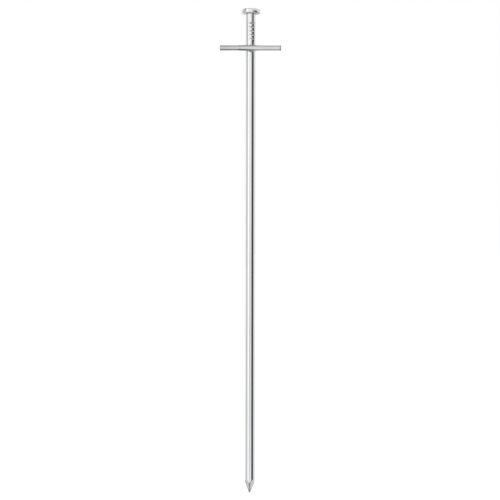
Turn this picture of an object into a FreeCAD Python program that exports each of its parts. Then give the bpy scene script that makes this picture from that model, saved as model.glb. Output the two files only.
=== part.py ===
# Nail-type steel tent stake: a headed and pointed spike with a short cross bar welded across its front.
#
# Millimetres. +Z runs up the shank's axis to the head, and the tip is at z = 0. The cross bar lies along X
# on the -Y side. A turn about the shank is counted in degrees from the -Y side towards +X.
import FreeCAD, Part
import math
import os

# Driving dimensions
LENGTH = 400.0
SHANK_RADIUS = 4.0
HEAD_RADIUS = 2 * SHANK_RADIUS
HEAD_THICKNESS = 3.8
HEAD_TOP_ROUND = 1.1
HEAD_UNDER_ROUND = 0.8

# Neck: the length that the heading dies hold, which the blow on the head leaves a shade thicker
NECK_RADIUS = 4.06
NECK_BELOW_TOP = 40.0
NECK_TAPER = 3.0
NECK_FILLET = 0.3

# Point: four facets with a narrow flash land between each pair. It is forged a little off the axis along
# X, leans back towards it by POINT_LEAN per unit of height, and ends in a small round nose.
FACET_TURN = 40.0
FACET_HALF_ANGLE = 17.9
LAND_HALF_ANGLE = 21.8
TIP_OFFSET = -0.26
POINT_LEAN = 0.03
TIP_RADIUS = 0.6
NOSE_HALF_ANGLE = 26.0
FACETED_HEIGHT = 4 * SHANK_RADIUS

# Grip marks: the teeth of the heading dies press a row into each of two opposite sides of the neck
GRIP_TURN = 18.0
GRIP_COUNT = 5
GRIP_PITCH = 3.2
GRIP_FIRST_BELOW_TOP = 11.9
GRIP_DEPTH = 0.4
GRIP_HALF_SPAN = 45.0
GRIP_FLOOR_HALF_WIDTH = 0.25
GRIP_MOUTH_HALF_WIDTH = 0.8

# Cross bar: the weld has sunk it a little into the shank and upset it, so it swells towards the middle
BAR_RADIUS = 2.15
BAR_LENGTH = 50.6
BAR_BELOW_TOP = 32.8
BAR_SINK = 0.5
BAR_END_ROUND = 0.4
BAR_SWELL = 0.25
BAR_SWELL_HALF_LENGTH = 10.5

# Weld beads, each a short round-ended run in the crook between the bar and the shank
UPPER_BEAD_RADIUS = 1.2
UPPER_BEAD_FROM = 0.2
UPPER_BEAD_TO = 3.3
UPPER_BEAD_STANDS = 0.8
LOWER_BEAD_RADIUS = 1.5
LOWER_BEAD_FROM = 0.2
LOWER_BEAD_TO = 1.4
LOWER_BEAD_HANGS = 1.1
BEAD_DEPTH = 4.7

UNDER_HEAD = LENGTH - HEAD_THICKNESS
APEX_HEIGHT = TIP_RADIUS - TIP_RADIUS / math.sin(math.radians(FACET_HALF_ANGLE))
BAR_HEIGHT = LENGTH - BAR_BELOW_TOP
BAR_Y = BAR_SINK - SHANK_RADIUS - BAR_RADIUS
UP = FreeCAD.Vector(0, 0, 1)


def towards(turn):
    """The level direction that faces away from the shank at this turn."""
    angle = math.radians(turn)
    return FreeCAD.Vector(math.sin(angle), -math.cos(angle), 0)


def outline(radius, height):
    """A point of a profile that is turned about Z."""
    return FreeCAD.Vector(radius, 0, height)


def short_arc(start, end, centre):
    """The arc from start to end about centre, the short way round."""
    outward = (start + end) * 0.5 - centre
    outward.normalize()
    middle = centre + outward * (start - centre).Length
    return Part.Arc(start, middle, end).toShape()


def turned(edges, axis_point, axis=UP):
    """The solid swept by a closed profile in a full turn about an axis through a point."""
    return Part.Face(Part.Wire(edges)).revolve(axis_point, axis, 360)


def headed_blank():
    """The wire with its upset head, before it is pointed and gripped."""
    foot = outline(0, APEX_HEIGHT)
    foot_edge = outline(SHANK_RADIUS, APEX_HEIGHT)
    taper_foot = outline(SHANK_RADIUS, LENGTH - NECK_BELOW_TOP - NECK_TAPER)
    neck_foot = outline(NECK_RADIUS, LENGTH - NECK_BELOW_TOP)
    neck_centre = outline(NECK_RADIUS + NECK_FILLET, UNDER_HEAD - NECK_FILLET)
    neck = outline(NECK_RADIUS, neck_centre.z)
    neck_out = outline(neck_centre.x, UNDER_HEAD)
    under_centre = outline(HEAD_RADIUS - HEAD_UNDER_ROUND, UNDER_HEAD + HEAD_UNDER_ROUND)
    under_edge = outline(under_centre.x, UNDER_HEAD)
    rim_low = outline(HEAD_RADIUS, under_centre.z)
    top_centre = outline(HEAD_RADIUS - HEAD_TOP_ROUND, LENGTH - HEAD_TOP_ROUND)
    rim_high = outline(HEAD_RADIUS, top_centre.z)
    top_edge = outline(top_centre.x, LENGTH)
    top = outline(0, LENGTH)
    edges = [
        Part.makeLine(foot, foot_edge),
        Part.makeLine(foot_edge, taper_foot),
        Part.makeLine(taper_foot, neck_foot),
        Part.makeLine(neck_foot, neck),
        short_arc(neck, neck_out, neck_centre),
        Part.makeLine(neck_out, under_edge),
        short_arc(under_edge, rim_low, under_centre),
        Part.makeLine(rim_low, rim_high),
        short_arc(rim_high, top_edge, top_centre),
        Part.makeLine(top_edge, top),
        Part.makeLine(top, foot),
    ]
    return turned(edges, FreeCAD.Vector(0, 0, 0))


def flats():
    """Each flat of the point in turn, as its level direction and its spread per unit of height."""
    found = []
    for quarter in range(4):
        turn = FACET_TURN + 90 * quarter
        found.append((towards(turn), math.tan(math.radians(FACET_HALF_ANGLE))))
        found.append((towards(turn + 45), math.tan(math.radians(LAND_HALF_ANGLE))))
    return found


def faceted_point():
    """The eight-sided pyramid on whose flats the point is cut."""
    apex = FreeCAD.Vector(TIP_OFFSET, 0, APEX_HEIGHT)
    sides = flats()
    rim = []
    for (one, spread), (other, other_spread) in zip(sides, sides[1:] + sides[:1]):
        across = one.x * other.y - one.y * other.x
        x = (spread * other.y - other_spread * one.y) / across
        y = (other_spread * one.x - spread * other.x) / across
        rim.append(apex + FreeCAD.Vector(x + POINT_LEAN, y, 1) * FACETED_HEIGHT)
    faces = [Part.Face(Part.makePolygon(rim + rim[:1]))]
    for corner, following in zip(rim, rim[1:] + rim[:1]):
        faces.append(Part.Face(Part.makePolygon([apex, corner, following, apex])))
    return Part.Solid(Part.Shell(faces))


def round_nose():
    """A cone with a ball end, a little blunter than the flats, which rounds the very tip."""
    slope = math.radians(NOSE_HALF_ANGLE)
    reach = FACETED_HEIGHT / math.cos(slope)
    centre = outline(TIP_OFFSET, TIP_RADIUS)
    bottom = outline(TIP_OFFSET, 0)
    shoulder = centre + outline(math.cos(slope), -math.sin(slope)) * TIP_RADIUS
    rim = shoulder + outline(math.sin(slope), math.cos(slope)) * reach
    lid = outline(TIP_OFFSET, rim.z)
    edges = [
        short_arc(bottom, shoulder, centre),
        Part.makeLine(shoulder, rim),
        Part.makeLine(rim, lid),
        Part.makeLine(lid, bottom),
    ]
    return turned(edges, centre)


def point_waste():
    """What the pointing dies pinch off the end of the blank."""
    below = FreeCAD.Vector(0, 0, APEX_HEIGHT - 1)
    around = Part.makeCylinder(2 * SHANK_RADIUS, FACETED_HEIGHT + 1, below)
    return around.cut(faceted_point().common(round_nose()))


def grip_teeth():
    """Both rows of die teeth. Each tooth's floor is an arc wider than the neck, so a mark fades out."""
    left = NECK_RADIUS - GRIP_DEPTH
    spread = left - NECK_RADIUS * math.cos(math.radians(GRIP_HALF_SPAN))
    set_back = (NECK_RADIUS**2 - left**2) / (2 * spread)
    floor_radius = left + set_back
    flank = (GRIP_MOUTH_HALF_WIDTH - GRIP_FLOOR_HALF_WIDTH) / GRIP_DEPTH
    depth = 2 * GRIP_DEPTH
    root_half_width = GRIP_FLOOR_HALF_WIDTH + flank * depth
    teeth = []
    for turn in (GRIP_TURN, GRIP_TURN + 180):
        centre = towards(turn) * -set_back
        for number in range(GRIP_COUNT):
            height = LENGTH - GRIP_FIRST_BELOW_TOP - number * GRIP_PITCH
            corners = [
                centre + outline(floor_radius, height - GRIP_FLOOR_HALF_WIDTH),
                centre + outline(floor_radius + depth, height - root_half_width),
                centre + outline(floor_radius + depth, height + root_half_width),
                centre + outline(floor_radius, height + GRIP_FLOOR_HALF_WIDTH),
            ]
            edges = Part.makePolygon(corners + corners[:1]).Edges
            teeth.append(turned(edges, centre))
    return teeth


def bar_point(along, radius):
    """A point of the cross bar's profile, at this distance along X from its middle."""
    return FreeCAD.Vector(along, BAR_Y, BAR_HEIGHT + radius)


def cross_bar():
    """The straight rod with lightly rounded sheared ends and the swelling at its middle."""
    end = BAR_LENGTH / 2
    shoulder = end - BAR_END_ROUND
    flat = BAR_RADIUS - BAR_END_ROUND
    swell = BAR_SWELL_HALF_LENGTH
    crest = bar_point(0, BAR_RADIUS + BAR_SWELL)
    edges = [Part.Arc(bar_point(-swell, BAR_RADIUS), crest, bar_point(swell, BAR_RADIUS)).toShape()]
    for side in (-1, 1):
        round_centre = bar_point(side * shoulder, flat)
        edges += [
            Part.makeLine(bar_point(side * swell, BAR_RADIUS), bar_point(side * shoulder, BAR_RADIUS)),
            short_arc(bar_point(side * shoulder, BAR_RADIUS), bar_point(side * end, flat), round_centre),
            Part.makeLine(bar_point(side * end, flat), bar_point(side * end, 0)),
        ]
    edges.append(Part.makeLine(bar_point(-end, 0), bar_point(end, 0)))
    return turned(Part.sortEdges(edges)[0], bar_point(0, 0), FreeCAD.Vector(1, 0, 0))


def spike(bar):
    """The forging, with the seat that the bar is sunk into."""
    return headed_blank().cut([point_waste(), bar] + grip_teeth())


def weld_run(start, end, radius):
    """A round-ended run of weld metal from start to end."""
    along = end - start
    run = Part.makeCylinder(radius, along.Length, start, along)
    return run.fuse([Part.makeSphere(radius, start), Part.makeSphere(radius, end)])


def weld_bead_upper():
    """The bead above the bar, which reaches further on the +X side."""
    height = BAR_HEIGHT + BAR_RADIUS + UPPER_BEAD_STANDS - UPPER_BEAD_RADIUS
    start = FreeCAD.Vector(UPPER_BEAD_FROM, -BEAD_DEPTH, height)
    end = FreeCAD.Vector(UPPER_BEAD_TO, -BEAD_DEPTH, height)
    return weld_run(start, end, UPPER_BEAD_RADIUS)


def weld_bead_lower():
    """The shorter, deeper bead that hangs below the bar."""
    height = BAR_HEIGHT - BAR_RADIUS - LOWER_BEAD_HANGS + LOWER_BEAD_RADIUS
    start = FreeCAD.Vector(LOWER_BEAD_FROM, -BEAD_DEPTH, height)
    end = FreeCAD.Vector(LOWER_BEAD_TO, -BEAD_DEPTH, height)
    return weld_run(start, end, LOWER_BEAD_RADIUS)


def one_solid(name, shape):
    """The shape as its single valid solid."""
    solids = shape.removeSplitter().Solids
    if len(solids) != 1 or not solids[0].isValid():
        raise ValueError(f"{name} should be one valid solid and has {len(solids)}")
    return solids[0]


def main():
    os.makedirs("parts", exist_ok=True)
    bar = cross_bar()
    shapes = {"spike": spike(bar), "cross_bar": bar}
    steel = list(shapes.values())
    shapes["weld_bead_upper"] = weld_bead_upper().cut(steel)
    shapes["weld_bead_lower"] = weld_bead_lower().cut(steel)
    for name, shape in shapes.items():
        solid = one_solid(name, shape)
        solid.exportStep(f"parts/{name}.step")
        box = solid.BoundBox
        print(f"{name}: {solid.Volume:.1f} mm3, x {box.XMin:.2f} to {box.XMax:.2f},"
              f" y {box.YMin:.2f} to {box.YMax:.2f}, z {box.ZMin:.2f} to {box.ZMax:.2f}")


main()
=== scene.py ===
import math
from collections import namedtuple

import bpy
import numpy as np
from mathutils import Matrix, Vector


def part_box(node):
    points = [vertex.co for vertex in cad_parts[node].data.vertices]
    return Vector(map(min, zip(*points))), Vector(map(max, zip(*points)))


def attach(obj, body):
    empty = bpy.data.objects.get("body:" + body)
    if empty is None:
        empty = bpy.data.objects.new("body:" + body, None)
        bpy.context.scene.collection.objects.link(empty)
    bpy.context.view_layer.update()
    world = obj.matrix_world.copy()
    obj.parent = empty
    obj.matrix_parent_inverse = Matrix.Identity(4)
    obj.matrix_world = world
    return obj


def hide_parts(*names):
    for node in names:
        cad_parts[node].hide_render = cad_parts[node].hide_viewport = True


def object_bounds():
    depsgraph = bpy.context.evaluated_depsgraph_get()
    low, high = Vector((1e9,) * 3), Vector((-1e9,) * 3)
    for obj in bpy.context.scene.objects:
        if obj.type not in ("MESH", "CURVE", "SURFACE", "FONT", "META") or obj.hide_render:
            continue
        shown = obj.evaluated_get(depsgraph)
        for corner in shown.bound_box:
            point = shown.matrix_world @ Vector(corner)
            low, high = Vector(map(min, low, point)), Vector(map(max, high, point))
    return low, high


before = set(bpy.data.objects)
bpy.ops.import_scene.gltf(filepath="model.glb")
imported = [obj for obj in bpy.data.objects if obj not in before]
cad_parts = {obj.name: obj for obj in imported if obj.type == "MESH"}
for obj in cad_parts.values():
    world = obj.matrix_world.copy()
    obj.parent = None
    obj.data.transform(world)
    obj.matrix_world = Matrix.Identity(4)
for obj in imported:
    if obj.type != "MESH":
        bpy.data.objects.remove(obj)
CAD_LOW, CAD_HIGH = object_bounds()

# Dimensions in millimetres. Places come from the frame, and the rest are the radii and angles of the design.
MM = 0.001


def box_in_mm(node):
    """The low and high corners of a node's box."""
    low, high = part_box(node)
    return np.array(low) / MM, np.array(high) / MM


BAR_LOW, BAR_HIGH = box_in_mm("cross_bar")

LENGTH = box_in_mm("spike")[1][2]
SHANK_RADIUS = 4.0
HEAD_RADIUS = 2 * SHANK_RADIUS
HEAD_THICKNESS = 3.8
HEAD_TOP_ROUND = 1.1
HEAD_UNDER_ROUND = 0.8
HEAD_BARREL = 0.12
HEAD_OFFSET = 0.1
HEAD_SIDE_UNEVENNESS = 0.05
HEAD_TOP_UNEVENNESS = 0.035
UNDER_HEAD = LENGTH - HEAD_THICKNESS

NECK_RADIUS = 4.06
NECK_FOOT = LENGTH - 40.0
NECK_TAPER = 3.0
NECK_FILLET = 0.3
NECK_FLARE = 0.12
NECK_FLARE_HEIGHT = 5.0

FACET_TURN = 40.0
FACET_HALF_ANGLE = math.radians(17.9)
FACET_SPREAD = math.tan(FACET_HALF_ANGLE)
LAND_SPREAD = math.tan(math.radians(21.8))
FACET_EDGE_ROUND = 0.1
NOSE_EDGE_ROUND = 0.06
TIP_OFFSET = -0.26
POINT_LEAN = 0.03
TIP_RADIUS = 0.6
NOSE_HALF_ANGLE = math.radians(26.0)
APEX_HEIGHT = TIP_RADIUS - TIP_RADIUS / math.sin(FACET_HALF_ANGLE)
POINT_TOP = 14.0

GRIP_TURN = 18.0
GRIP_COUNT = 5
GRIP_PITCH = 3.2
GRIP_FIRST_BELOW_TOP = 11.9
GRIP_DEPTH = 0.4
GRIP_HALF_SPAN = math.radians(45.0)
GRIP_FLOOR_HALF_WIDTH = 0.25
GRIP_MOUTH_HALF_WIDTH = 0.8
GRIP_EDGE_ROUND = 0.08

# Each mark in a row is this much shallower than the one above it
GRIP_FADE = 0.03

# Metal that the dies squeezed out beside each row of marks: its height, and the turn of its crest from the
# row's middle and its spread in degrees. Between the marks and the head the crest is nearer and narrower.
SQUEEZED_HEIGHT = 0.12
SQUEEZED_TURN = 36
SQUEEZED_TURN_LOSS = 18
SQUEEZED_SPREAD = 15
SQUEEZED_SPREAD_LOSS = 3

BAR_HALF_LENGTH = BAR_HIGH[0]
BAR_Y = (BAR_LOW[1] + BAR_HIGH[1]) / 2
BAR_Z = (BAR_LOW[2] + BAR_HIGH[2]) / 2
BAR_RADIUS = 2.15
BAR_CREST_RADIUS = (BAR_HIGH[2] - BAR_LOW[2]) / 2
BAR_SWELL_HALF_LENGTH = 10.5
BAR_END_ROUND = 0.4
BAR_ROLL_OVER = 0.35

UPPER_BEAD_RADIUS = 1.2
LOWER_BEAD_RADIUS = 1.5

# A length beyond everything on the stake
CLEAR = 1e3


# ---- shapes ----
def soft_min(one, other, radius):
    """The smaller of two lengths, with the corner between them rounded over this radius."""
    overlap = np.maximum(radius - np.abs(one - other), 0) / radius
    return np.minimum(one, other) - overlap**2 * radius / 4


def smooth_step(low, high, value):
    """From 0 at the low end to 1 at the high end, level at both, in either direction."""
    share = np.clip((value - low) / (high - low), 0, 1)
    return share * share * (3 - 2 * share)


def wave_noise(seed, *coordinates, octaves=4, scale=1.0):
    """Smooth seeded noise, mostly from -1 to 1, as a sum of sine waves in random directions."""
    random = np.random.default_rng(seed)
    total = 0
    weight = 0
    for octave in range(octaves):
        size = 2**octave / scale
        for _ in range(3):
            direction = random.normal(size=len(coordinates))
            phase = random.uniform(0, 2 * math.pi)
            across = sum(d * size * c for d, c in zip(direction, coordinates))
            total = total + np.sin(across + phase) / 2**octave
            weight += 1 / 2**octave
    return total / weight * 1.6


def tube_mesh(name, rings, start_pole, end_pole, dullness_and_shade):
    """A closed skin over rings of points in millimetres, with each point's share of duller plating and painted
    shade, from 0 to 1.
    """
    rows, columns = rings.shape[:2]
    points = np.vstack([rings.reshape(-1, 3), [start_pole], [end_pole]]) * MM
    index = np.arange(rows * columns).reshape(rows, columns)
    following = np.roll(index, -1, axis=1)
    quads = np.stack([index[:-1], following[:-1], following[1:], index[1:]], axis=-1).reshape(-1, 4)
    first, last = rows * columns, rows * columns + 1
    faces = quads.tolist()
    faces += [(int(following[0, c]), int(index[0, c]), first) for c in range(columns)]
    faces += [(int(index[-1, c]), int(following[-1, c]), last) for c in range(columns)]
    mesh = bpy.data.meshes.new(name)
    mesh.from_pydata(points.tolist(), [], faces)
    mesh.polygons.foreach_set("use_smooth", [True] * len(mesh.polygons))
    dull_and_shade = mesh.attributes.new("dullness_and_shade", "FLOAT", "POINT")
    ends = [dullness_and_shade[0].mean(), dullness_and_shade[-1].mean()]
    dull_and_shade.data.foreach_set("value", np.concatenate([dullness_and_shade.ravel(), ends]).astype(np.float32))
    mesh.update()
    piece = bpy.data.objects.new(name, mesh)
    bpy.context.collection.objects.link(piece)
    return piece


def arc_points(centre, radius, start, end, count):
    """Profile points (radius, height) along an arc, angles in degrees from the outward direction upwards."""
    angles = np.radians(np.linspace(start, end, count))
    return [(centre[0] + radius * math.cos(a), centre[1] + radius * math.sin(a)) for a in angles]


# ---- spike ----
def section_centre(height):
    """The x of the point's leaning axis, easing over to the shank's axis above the facets."""
    lean = TIP_OFFSET + POINT_LEAN * (height - APEX_HEIGHT)
    return lean * (1 - smooth_step(7.0, 13.0, height))


def point_radius(turn, height):
    """The distance from the section's centre to the skin of the faceted point."""
    centre = section_centre(height)
    axis_shift = TIP_OFFSET + POINT_LEAN * (height - APEX_HEIGHT) - centre
    across = centre * np.sin(turn)
    wall = -across + np.sqrt(across**2 - centre**2 + SHANK_RADIUS**2)
    for quarter in range(4):
        for offset, spread in ((0, FACET_SPREAD), (45, LAND_SPREAD)):
            facing = math.radians(FACET_TURN + 90 * quarter + offset)
            facing_cos = np.cos(turn - facing)
            reach = spread * (height - APEX_HEIGHT) + axis_shift * math.sin(facing)
            flat = np.where(facing_cos > 0.15, reach / np.maximum(facing_cos, 0.15), CLEAR)
            wall = soft_min(wall, flat, FACET_EDGE_ROUND)
    ball = np.sqrt(np.maximum(TIP_RADIUS**2 - (TIP_RADIUS - height) ** 2, 1e-9))
    shoulder = TIP_RADIUS - TIP_RADIUS * math.sin(NOSE_HALF_ANGLE)
    cone = TIP_RADIUS * math.cos(NOSE_HALF_ANGLE) + (height - shoulder) * math.tan(NOSE_HALF_ANGLE)
    nose = np.where(height < shoulder, ball, cone)
    shift = centre - TIP_OFFSET
    across = shift * np.sin(turn)
    nose = -across + np.sqrt(np.maximum(across**2 - shift**2 + nose**2, 1e-9))
    return soft_min(wall, nose, NOSE_EDGE_ROUND)


def squeezed_out(away, height):
    """How far the metal beside a row of grip marks stands up, at a turn away from the row's middle."""
    by_head = smooth_step(LENGTH - 12, LENGTH - 10, height)
    off_crest = np.degrees(np.arcsin(np.sin(away))) - SQUEEZED_TURN + SQUEEZED_TURN_LOSS * by_head
    spread = SQUEEZED_SPREAD - SQUEEZED_SPREAD_LOSS * by_head
    rise = SQUEEZED_HEIGHT * smooth_step(LENGTH - 29, LENGTH - 25, height)
    return rise * (np.cos(away) > 0) * np.exp(-((off_crest / spread) ** 2))


def gripped(radius, turn, height):
    """The radius with the heading dies' marks pressed in, and what share of a mark's depth is pressed in."""
    left = NECK_RADIUS - GRIP_DEPTH
    spread = left - NECK_RADIUS * math.cos(GRIP_HALF_SPAN)
    set_back = (NECK_RADIUS**2 - left**2) / (2 * spread)
    floor_radius = left + set_back
    flank = (GRIP_MOUTH_HALF_WIDTH - GRIP_FLOOR_HALF_WIDTH) / GRIP_DEPTH
    before = radius
    for side in (0, 180):
        away = turn - math.radians(GRIP_TURN + side)
        near = np.cos(away)
        floor = -set_back * near + np.sqrt(floor_radius**2 - (set_back * np.sin(away)) ** 2)
        squeezed = squeezed_out(away, height)
        radius = radius + squeezed
        before = before + squeezed
        for number in range(GRIP_COUNT):
            middle = LENGTH - GRIP_FIRST_BELOW_TOP - number * GRIP_PITCH
            shallower = GRIP_FADE * number
            from_middle = np.abs(height - middle)
            tooth = floor + shallower + np.maximum(from_middle - GRIP_FLOOR_HALF_WIDTH, 0) / flank
            tooth = np.where(near > 0.3, tooth, CLEAR)
            radius = soft_min(radius, tooth, GRIP_EDGE_ROUND)
    return radius, np.clip((before - radius) / GRIP_DEPTH, 0, 1)


def bar_radius(along):
    """The cross bar's radius at a distance from its middle: an arc of swelling, then the plain rod."""
    rise = BAR_CREST_RADIUS - BAR_RADIUS
    share = np.clip(np.abs(along) / BAR_SWELL_HALF_LENGTH, 0, 1)
    return BAR_RADIUS + rise * (1 - share**2)


def seated(radius, turn, height):
    """The neck's radius with the seat that the bar has sunk into it."""
    out = -np.cos(turn)
    for _ in range(3):
        half_chord = np.sqrt(np.maximum(bar_radius(radius * np.sin(turn)) ** 2 - (height - BAR_Z) ** 2, 0))
        reach = np.where(out < -0.3, (BAR_Y + half_chord) / np.minimum(out, -0.3), CLEAR)
        hit = (half_chord > 0) & (out < -0.3) & (reach > 0)
        radius = np.where(hit, np.minimum(radius, reach + 0.01), radius)
    return radius


def head_profile():
    """The head's outline (radius, height), from the fillet at the neck round to the middle of the top."""
    neck_top = NECK_RADIUS + NECK_FLARE
    fillet = (neck_top + NECK_FILLET, UNDER_HEAD - NECK_FILLET)
    under = (HEAD_RADIUS - HEAD_UNDER_ROUND, UNDER_HEAD + HEAD_UNDER_ROUND)
    top = (HEAD_RADIUS - HEAD_TOP_ROUND, LENGTH - HEAD_TOP_ROUND)
    profile = arc_points(fillet, NECK_FILLET, 180, 90, 11)
    profile += [(r, UNDER_HEAD) for r in np.linspace(fillet[0], under[0], 9)[1:-1]]
    profile += arc_points(under, HEAD_UNDER_ROUND, -90, 0, 13)
    profile += [(HEAD_RADIUS, z) for z in np.linspace(under[1], top[1], 9)[1:-1]]
    profile += arc_points(top, HEAD_TOP_ROUND, 0, 90, 17)
    profile += [(r, LENGTH) for r in np.linspace(top[0], 0.3, 28)[1:]]
    return np.array(profile)


def head_painted_shade(x, y, out, up):
    """Painted shade on the head: in the crook with the neck, and low down towards +X, most on the front."""
    low_down = smooth_step(UNDER_HEAD + 1.8, UNDER_HEAD, up)
    # Painted shade in the crook under the head, by the neck.
    crook = 0.8 * np.exp(-(((out - NECK_RADIUS) / 1.5) ** 2)) * (up < UNDER_HEAD + 0.1)
    # Painted shade low down on the head towards +X, stronger on the front.
    low_shade = 0.5 * np.exp(-(((x - 5.5) / 2.6) ** 2)) * low_down
    front_low_shade = np.exp(-(((x - 5.0) / 1.7) ** 2)) * low_down * smooth_step(0, -2, y)
    return np.maximum.reduce([crook, low_shade, front_low_shade])


def head_rings(turn):
    """The head's rings of points, with the slight unevenness of a struck head, and the shade painted on it."""
    profile = head_profile()
    out = profile[:, :1] * np.ones((1, len(turn)))
    up = profile[:, 1:] * np.ones((1, len(turn)))
    rim = smooth_step(NECK_RADIUS + 1, HEAD_RADIUS, out)
    around = wave_noise(3, np.sin(turn) * 2, np.cos(turn) * 2, octaves=2)
    out = out - HEAD_SIDE_UNEVENNESS * rim * (1 + around)
    wall_height = LENGTH - HEAD_TOP_ROUND - UNDER_HEAD - HEAD_UNDER_ROUND
    out = out - HEAD_BARREL * rim * np.clip((up - UNDER_HEAD - HEAD_UNDER_ROUND) / wall_height, 0, 1) ** 2
    x = out * np.sin(turn) + HEAD_OFFSET * smooth_step(NECK_RADIUS + 0.5, HEAD_RADIUS, out)
    y = -out * np.cos(turn)
    on_top = smooth_step(LENGTH - 0.5, LENGTH - 0.02, up)
    up = up - HEAD_TOP_UNEVENNESS * on_top * (1 + wave_noise(5, x, y, octaves=3, scale=2.2))
    return np.stack([x, y, up], axis=-1), head_painted_shade(x, y, out, up)


def spike_heights():
    """The heights of the rings below the head, close together over the point and the neck."""
    return np.concatenate([
        TIP_RADIUS * (1 - np.cos(np.radians(np.arange(6, 48, 6)))),
        np.arange(0.22, 1.6, 0.07),
        np.arange(1.6, 12.4, 0.11),
        np.arange(12.4, POINT_TOP, 0.4),
        np.arange(POINT_TOP, NECK_FOOT - NECK_TAPER, 4.0),
        np.arange(NECK_FOOT - NECK_TAPER, UNDER_HEAD - NECK_FILLET, 0.14),
    ])


def spike_dulling_and_shade(turn, height, x, pressed):
    """Where the spike's plating is duller and where shade is painted on it: painted shade in the marks, by the
    weld and under the head; duller plating at the point and in a stripe down the neck.
    """
    behind = (turn > 1.8) * (turn < 4.5)
    by_weld = np.hypot(x - 1, height - BAR_Z) + 3 * behind
    # Painted shade on the neck around the bar's seat, except at the back.
    weld_seat_shade = 0.45 * smooth_step(4.0, 2.6, by_weld)
    # Duller plating towards the tip.
    duller_near_tip = 0.75 * smooth_step(5.0, 0.4, height)
    # Duller plating in four narrow lines down the point.
    off_ridge = np.sin(2 * (turn - math.radians(FACET_TURN + 60)))
    duller_ridge_lines = 0.42 * np.exp(-((off_ridge / 0.3) ** 2)) * smooth_step(11, 9, height)
    # Duller plating in a faint stripe down the upper neck.
    off_stripe = turn - math.radians(333)
    neck_stripe = 0.16 * np.exp(-((off_stripe / 0.14) ** 2)) * smooth_step(LENGTH - 30, LENGTH - 26, height)
    # Painted shade at the top of the neck, just under the head.
    crook = 0.8 * smooth_step(UNDER_HEAD - 0.5, UNDER_HEAD - 0.25, height)
    # The grip marks get painted shade by how deep they are pressed in.
    return np.maximum.reduce([pressed, weld_seat_shade, duller_near_tip, duller_ridge_lines, neck_stripe, crook])


def spike_piece():
    """The head, neck, shank and point as one skin."""
    turn = np.linspace(0, 2 * math.pi, 224, endpoint=False)
    turns, height = np.meshgrid(turn, spike_heights())
    taper = smooth_step(NECK_FOOT - NECK_TAPER, NECK_FOOT, height)
    plain = SHANK_RADIUS + (NECK_RADIUS - SHANK_RADIUS) * taper
    flare = NECK_FLARE * smooth_step(UNDER_HEAD - NECK_FLARE_HEIGHT, UNDER_HEAD, height)
    radius = np.where(height < POINT_TOP, point_radius(turns, height), plain + flare)
    radius, pressed = gripped(radius, turns, height)
    radius = seated(radius, turns, height)
    x = section_centre(height) + radius * np.sin(turns)
    body = np.stack([x, -radius * np.cos(turns), height], axis=-1)
    head, head_shade = head_rings(turn)
    dullness_and_shade = np.vstack([spike_dulling_and_shade(turns, height, x, pressed), head_shade])
    ends = [(TIP_OFFSET, 0, 0), (0, 0, LENGTH - 0.03)]
    return tube_mesh("spike_forging", np.vstack([body, head]), *ends, dullness_and_shade)


# ---- cross bar ----
def bar_profile(shoulder):
    """The bar's outline (x, radius) from the middle of one end face to the middle of the other."""
    along = np.concatenate([np.arange(-shoulder, -11, 0.5), np.arange(-11, 11, 0.25),
                            np.arange(11, shoulder, 0.5), [shoulder]])
    cap = arc_points((shoulder, BAR_RADIUS - BAR_END_ROUND), BAR_END_ROUND, 78, 0, 9)
    cap += [(BAR_HALF_LENGTH, r) for r in np.linspace(BAR_RADIUS - BAR_END_ROUND, 0.15, 11)[1:]]
    return np.array([(-x, r) for x, r in reversed(cap)] + [(x, bar_radius(x)) for x in along] + cap)


def bar_dulling_and_shade(x, z):
    """Where the bar's plating is duller, on its sheared ends, and where shade is painted on it, by the weld
    and darkening towards -X.
    """
    sheared = smooth_step(BAR_HALF_LENGTH - 1.2, BAR_HALF_LENGTH - 0.6, x)
    sheared = sheared + 0.4 * smooth_step(BAR_HALF_LENGTH - 0.7, BAR_HALF_LENGTH - 0.2, -x)
    # Painted shade, darker towards the -X end.
    left_shade = 0.22 * smooth_step(6.0, BAR_HALF_LENGTH, -x)
    # Painted shade beside the weld, on the bar's top and bottom.
    by_weld = 0.5 * np.exp(-(((x - 1.5) / 3.5) ** 2)) * smooth_step(0.3, 1.0, np.abs(z - BAR_Z) / BAR_RADIUS)
    return np.maximum.reduce([sheared, by_weld, left_shade])


def bar_piece():
    """The swollen rod with its sheared ends, torn across and rolled over at the +X one."""
    columns = 128
    turn = np.linspace(0, 2 * math.pi, columns, endpoint=False)
    shoulder = BAR_HALF_LENGTH - BAR_END_ROUND
    profile = bar_profile(shoulder)
    x = profile[:, :1] * np.ones((1, columns))
    radius = profile[:, 1:] * np.ones((1, columns))
    y = BAR_Y - radius * np.sin(turn)
    z = BAR_Z + radius * np.cos(turn)
    on_end = smooth_step(shoulder - 0.1, BAR_HALF_LENGTH - 0.05, np.abs(x))
    tear = 0.04 + 0.05 * (z - BAR_Z) / BAR_RADIUS + 0.04 * wave_noise(11, y * 2, z * 2, np.sign(x), octaves=3)
    x = x - np.sign(x) * on_end * np.clip(tear, 0, 0.2) * smooth_step(BAR_RADIUS, BAR_RADIUS - 0.5, radius)
    near_end = smooth_step(BAR_HALF_LENGTH - 0.9, BAR_HALF_LENGTH, x)
    roll_over = BAR_ROLL_OVER * smooth_step(BAR_Y, BAR_LOW[1], y) * near_end
    rings = np.stack([x - roll_over, y, z], axis=-1)
    ends = [(side * (BAR_HALF_LENGTH - 0.08), BAR_Y, BAR_Z) for side in (-1, 1)]
    return tube_mesh("cross_bar_rod", rings, *ends, bar_dulling_and_shade(x, z))


# ---- weld beads ----
RIPPLE_HEIGHT = 0.045
RIPPLE_PITCH = 0.62


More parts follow.
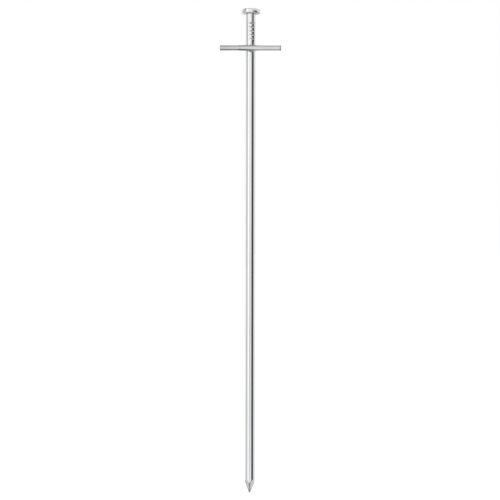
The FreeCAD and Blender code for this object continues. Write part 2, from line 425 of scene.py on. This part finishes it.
def bead_piece(name, node, radius, side, seed):
    """A short run of weld metal with ripples across it, sunk into the crook between bar and neck."""
    low, high = box_in_mm(node)
    columns, rows = 72, 56
    turn = np.linspace(0, 2 * math.pi, columns, endpoint=False)
    centre_x = (low[0] + high[0]) / 2
    centre_y = (low[1] + high[1]) / 2
    centre_z = high[2] - radius if side > 0 else low[2] + radius
    half_run = (high[0] - low[0]) / 2 - radius
    angle = np.linspace(-90, 90, rows + 2)[1:-1, None]
    x = centre_x + np.sin(np.radians(angle)) * (half_run + radius) * np.ones((1, columns))
    overrun = np.maximum(np.abs(x - centre_x) - half_run, 0)
    girth = np.sqrt(np.maximum(radius**2 - overrun**2, 0)) + 1e-3
    ripple = 1 + RIPPLE_HEIGHT * np.cos(2 * math.pi * (x + 0.25 * np.cos(x)) / RIPPLE_PITCH)
    lumps = 1 + 0.05 * wave_noise(seed, x, -girth * np.sin(turn), girth * np.cos(turn), octaves=3, scale=0.8)
    y = centre_y - girth * ripple * lumps * np.sin(turn)
    z = centre_z + girth * ripple * lumps * np.cos(turn)
    ends = [(centre_x + way * (half_run + radius), centre_y, centre_z) for way in (-1, 1)]
    dullness_and_shade = 0.5 * (1 - ripple) / RIPPLE_HEIGHT + 0.5
    return tube_mesh(name, np.stack([x, y, z], axis=-1), *ends, dullness_and_shade)


# ---- materials ----
class Nodes:
    """A short way to build one node tree."""

    def __init__(self, tree):
        self.tree = tree

    def add(self, kind, inputs=None, **settings):
        """A node with its settings, and each input linked to a socket or set to a constant."""
        node = self.tree.nodes.new(kind)
        for key, value in settings.items():
            setattr(node, key, value)
        for key, value in (inputs or {}).items():
            if isinstance(value, bpy.types.NodeSocket):
                self.tree.links.new(value, node.inputs[key])
            else:
                node.inputs[key].default_value = value
        return node

    def math(self, operation, *values):
        return self.add("ShaderNodeMath", dict(enumerate(values)), operation=operation).outputs[0]

    def span(self, value, low, high, to_low=0.0, to_high=1.0, curve="LINEAR"):
        """The value carried from one range to another, and held at its ends."""
        inputs = {"Value": value, "From Min": low, "From Max": high, "To Min": to_low, "To Max": to_high}
        return self.add("ShaderNodeMapRange", inputs, interpolation_type=curve).outputs["Result"]

    def blend(self, share, one, other):
        inputs = {"Factor": share, "A": one, "B": other}
        return self.add("ShaderNodeMix", inputs, data_type="RGBA").outputs["Result"]

    def noise(self, vector, scale, detail=3.0, roughness=0.55):
        inputs = {"Vector": vector, "Scale": scale, "Detail": detail, "Roughness": roughness}
        return self.add("ShaderNodeTexNoise", inputs).outputs["Fac"]

    def stretched(self, scale):
        """Places on the object in metres, times a scale along each axis."""
        place = self.add("ShaderNodeTexCoord").outputs["Object"]
        return self.add("ShaderNodeMapping", {"Vector": place, "Scale": scale}).outputs["Vector"]


def zinc(name, tint, dark_tint, dull_and_shade_tint, roughness, grain, cloud_scale, bump):
    """Bright zinc plating over drawn wire: lengthwise drawing lines, faint clouds, and duller places that also
    carry painted shade.
    """
    material = bpy.data.materials.new(name)
    material.use_nodes = True
    n = Nodes(material.node_tree)
    shader = material.node_tree.nodes["Principled BSDF"]
    lines = n.noise(n.stretched(grain), 1.0, detail=5.0, roughness=0.6)
    clouds = n.noise(n.stretched((1, 1, 0.35)), cloud_scale, detail=4.0)
    grit = n.noise(n.stretched((1, 1, 1)), 2600.0, detail=2.0)
    mottle = n.noise(n.stretched((1, 1, 1)), 900.0, detail=3.0)
    # The attribute carries duller plating and painted shade alike; both blend to the darker tint and roughen
    # the surface.
    dull_and_shade = n.add("ShaderNodeAttribute", attribute_name="dullness_and_shade").outputs["Fac"]
    dull_and_shade = n.math("MULTIPLY", dull_and_shade, n.span(mottle, 0.3, 0.7, 0.8, 1.1))
    shade = n.math("ADD", n.span(lines, 0.3, 0.7, 0.0, 0.5), n.span(clouds, 0.35, 0.65, 0.0, 0.5))
    fresh = n.blend(shade, (*dark_tint, 1), (*tint, 1))
    n.tree.links.new(n.blend(dull_and_shade, fresh, (*dull_and_shade_tint, 1)), shader.inputs["Base Color"])
    shader.inputs["Metallic"].default_value = 1.0
    rough = n.math("ADD", n.span(lines, 0.3, 0.7, -0.03, 0.03),
                   n.span(clouds, 0.3, 0.7, roughness - 0.02, roughness + 0.03))
    rough = n.math("ADD", rough, n.math("MULTIPLY", dull_and_shade, 0.22))
    n.tree.links.new(rough, shader.inputs["Roughness"])
    height = n.math("ADD", lines, n.span(grit, 0.0, 1.0, 0.0, 0.35))
    relief = n.add("ShaderNodeBump", {"Height": height, "Strength": bump, "Distance": 0.00002})
    n.tree.links.new(relief.outputs["Normal"], shader.inputs["Normal"])
    return material


# ---- stage ----
# A card is a patch of the studio's walls: the turn of its middle from the camera's side towards +X, its half
# width and the softness of its upright edges in degrees, the sines of its lowest and highest elevation, and
# its brightness. Each card covers the ones before it.
Card = namedtuple("Card", "name turn half_width softness low high brightness")
ROOM_BRIGHTNESS = 0.86
CARD_FADE = 0.20
LOW_TONE = (0.985, 0.995, 1.01, 1)
HIGH_TONE = (1.0, 0.995, 0.98, 1)
CARDS = [
    Card("back_window", -152, 10, 20, -0.6, 0.9, 1.15),
    Card("back_flag", 165, 8, 20, -0.6, 0.5, 0.45),
    Card("ceiling", 90, 92, 8, 0.72, 2.0, 0.73),
    Card("ceiling_left", -90, 88, 8, 0.72, 2.0, 0.38),
    Card("ground", 90, 92, 8, -2.0, -0.40, 0.74),
    Card("ground_left", -90, 88, 8, -2.0, -0.40, 0.70),
    Card("below", 90, 92, 8, -2.0, -0.70, 0.66),
    Card("below_left", -90, 88, 8, -2.0, -0.70, 0.20),
    Card("bounce", 30, 31, 8, -0.64, -0.18, 1.36),
    Card("bounce_left", -30, 29, 8, -0.64, -0.18, 1.14),
    Card("front", -14, 22, 40, 0.045, 0.75, 1.08),
    Card("window", -42, 8, 18, -0.6, 0.9, 1.5),
    Card("left_slot", -88, 4, 8, -0.6, 0.6, 0.1),
    Card("left_slot_top", -70, 5, 10, 0.16, 0.8, 0.25),
    Card("low_slot", -12, 4, 8, -0.25, -0.09, 0.38),
    Card("flag", 60, 22, 34, -0.55, 0.27, 0.0),
    Card("flag_edge", 33, 4, 8, -0.55, 0.27, 0.15),
]


def world_light():
    """A soft white studio all round the object, plain white to the camera."""
    world = bpy.data.worlds.new("studio")
    bpy.context.scene.world = world
    world.use_nodes = True
    world.node_tree.nodes.clear()
    n = Nodes(world.node_tree)
    axes = n.add("ShaderNodeSeparateXYZ", {"Vector": n.add("ShaderNodeTexCoord").outputs["Generated"]}).outputs
    turn = n.math("DEGREES", n.math("ARCTAN2", axes["X"], n.math("MULTIPLY", axes["Y"], -1.0)))
    colour = (*[ROOM_BRIGHTNESS] * 3, 1)
    for card in CARDS:
        aside = n.math("ABSOLUTE", n.math("WRAP", n.math("SUBTRACT", turn, card.turn), 180.0, -180.0))
        outer = card.half_width + card.softness / 2
        across = n.span(aside, outer, outer - card.softness, curve="SMOOTHSTEP")
        half_fade = CARD_FADE / 2
        above = n.span(axes["Z"], card.low - half_fade, card.low + half_fade, curve="SMOOTHSTEP")
        below = n.span(axes["Z"], card.high + half_fade, card.high - half_fade, curve="SMOOTHSTEP")
        share = n.math("MULTIPLY", across, n.math("MULTIPLY", above, below))
        colour = n.blend(share, colour, (*[card.brightness] * 3, 1))
    tone = n.blend(n.span(axes["Z"], -0.2, 0.2), LOW_TONE, HIGH_TONE)
    colour = n.add("ShaderNodeVectorMath", {0: colour, 1: tone}, operation="MULTIPLY").outputs[0]
    light = n.add("ShaderNodeBackground", {"Color": colour, "Strength": 1.0})
    white = n.add("ShaderNodeBackground", {"Color": (1, 1, 1, 1), "Strength": 1.0})
    seen = n.add("ShaderNodeLightPath").outputs["Is Camera Ray"]
    mixed = n.add("ShaderNodeMixShader", {0: seen, 1: light.outputs[0], 2: white.outputs[0]})
    n.add("ShaderNodeOutputWorld", {"Surface": mixed.outputs[0]})


def floor():
    """A plain pale floor, just under the tip."""
    mesh = bpy.data.meshes.new("floor")
    reach = 60.0
    corners = [(-reach, -reach, 0), (reach, -reach, 0), (reach, reach, 0), (-reach, reach, 0)]
    mesh.from_pydata(corners, [], [(0, 1, 2, 3)])
    plane = bpy.data.objects.new("floor", mesh)
    plane.location.z = CAD_LOW[2] - 0.0001
    bpy.context.collection.objects.link(plane)
    paint = bpy.data.materials.new("floor_white")
    paint.use_nodes = True
    shader = paint.node_tree.nodes["Principled BSDF"]
    shader.inputs["Base Color"].default_value = (0.93, 0.93, 0.93, 1)
    shader.inputs["Roughness"].default_value = 0.9
    shader.inputs["Specular IOR Level"].default_value = 0.1
    mesh.materials.append(paint)
    plane.visible_glossy = False


def overhead_light():
    """A broad soft light from overhead that fills the floor and casts no visible shadow."""
    light = bpy.data.lights.new("overhead_light", "SUN")
    light.energy = 1.6
    light.angle = math.radians(150)
    lamp = bpy.data.objects.new("overhead_light", light)
    bpy.context.collection.objects.link(lamp)
    lamp.rotation_euler = (math.radians(12), math.radians(-8), 0)
    lamp.visible_glossy = False


CAMERA_DISTANCE = 1.15
CAMERA_ASIDE = -0.00013
CAMERA_RAISED = 0.00067
CAMERA_ROLL = -0.09


def camera():
    """Square on to the stake, about level with its middle, and rolled by the stake's slight lean."""
    lens = bpy.data.cameras.new("camera")
    lens.sensor_width = 36
    lens.lens = 99.96
    eye = bpy.data.objects.new("camera", lens)
    bpy.context.collection.objects.link(eye)
    middle = (CAD_LOW[2] + CAD_HIGH[2]) / 2
    eye.location = (CAMERA_ASIDE, -CAMERA_DISTANCE, middle + CAMERA_RAISED)
    eye.rotation_euler = (math.radians(90), math.radians(CAMERA_ROLL), 0)
    bpy.context.scene.camera = eye


bpy.context.scene.view_settings.view_transform = "Standard"
world_light()
floor()
overhead_light()
camera()

# The tint that duller plating and painted shade blend towards.
DULL_STEEL_AND_SHADE = (0.30, 0.30, 0.295)
spike_zinc = zinc("zinc_on_spike", (0.84, 0.845, 0.855), (0.77, 0.775, 0.785), DULL_STEEL_AND_SHADE,
                  0.07, (5000, 5000, 30), 60.0, 0.2)
bar_zinc = zinc("zinc_on_bar", (0.70, 0.70, 0.695), (0.62, 0.62, 0.615), DULL_STEEL_AND_SHADE,
                0.13, (30, 5000, 5000), 80.0, 0.25)
weld_zinc = zinc("zinc_on_weld", (0.66, 0.68, 0.71), (0.55, 0.57, 0.60), DULL_STEEL_AND_SHADE,
                 0.30, (900, 900, 900), 400.0, 1.0)

PIECES = [
    (spike_piece(), "spike", spike_zinc, "plated_spike"),
    (bar_piece(), "cross_bar", bar_zinc, "plated_bar"),
    (bead_piece("weld_upper_run", "weld_bead_upper", UPPER_BEAD_RADIUS, 1, 21),
     "weld_bead_upper", weld_zinc, "plated_weld"),
    (bead_piece("weld_lower_run", "weld_bead_lower", LOWER_BEAD_RADIUS, -1, 22),
     "weld_bead_lower", weld_zinc, "plated_weld"),
]
for piece, node, material, slot in PIECES:
    piece.data.materials.append(material)
    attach(piece, "root")
    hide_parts(node)
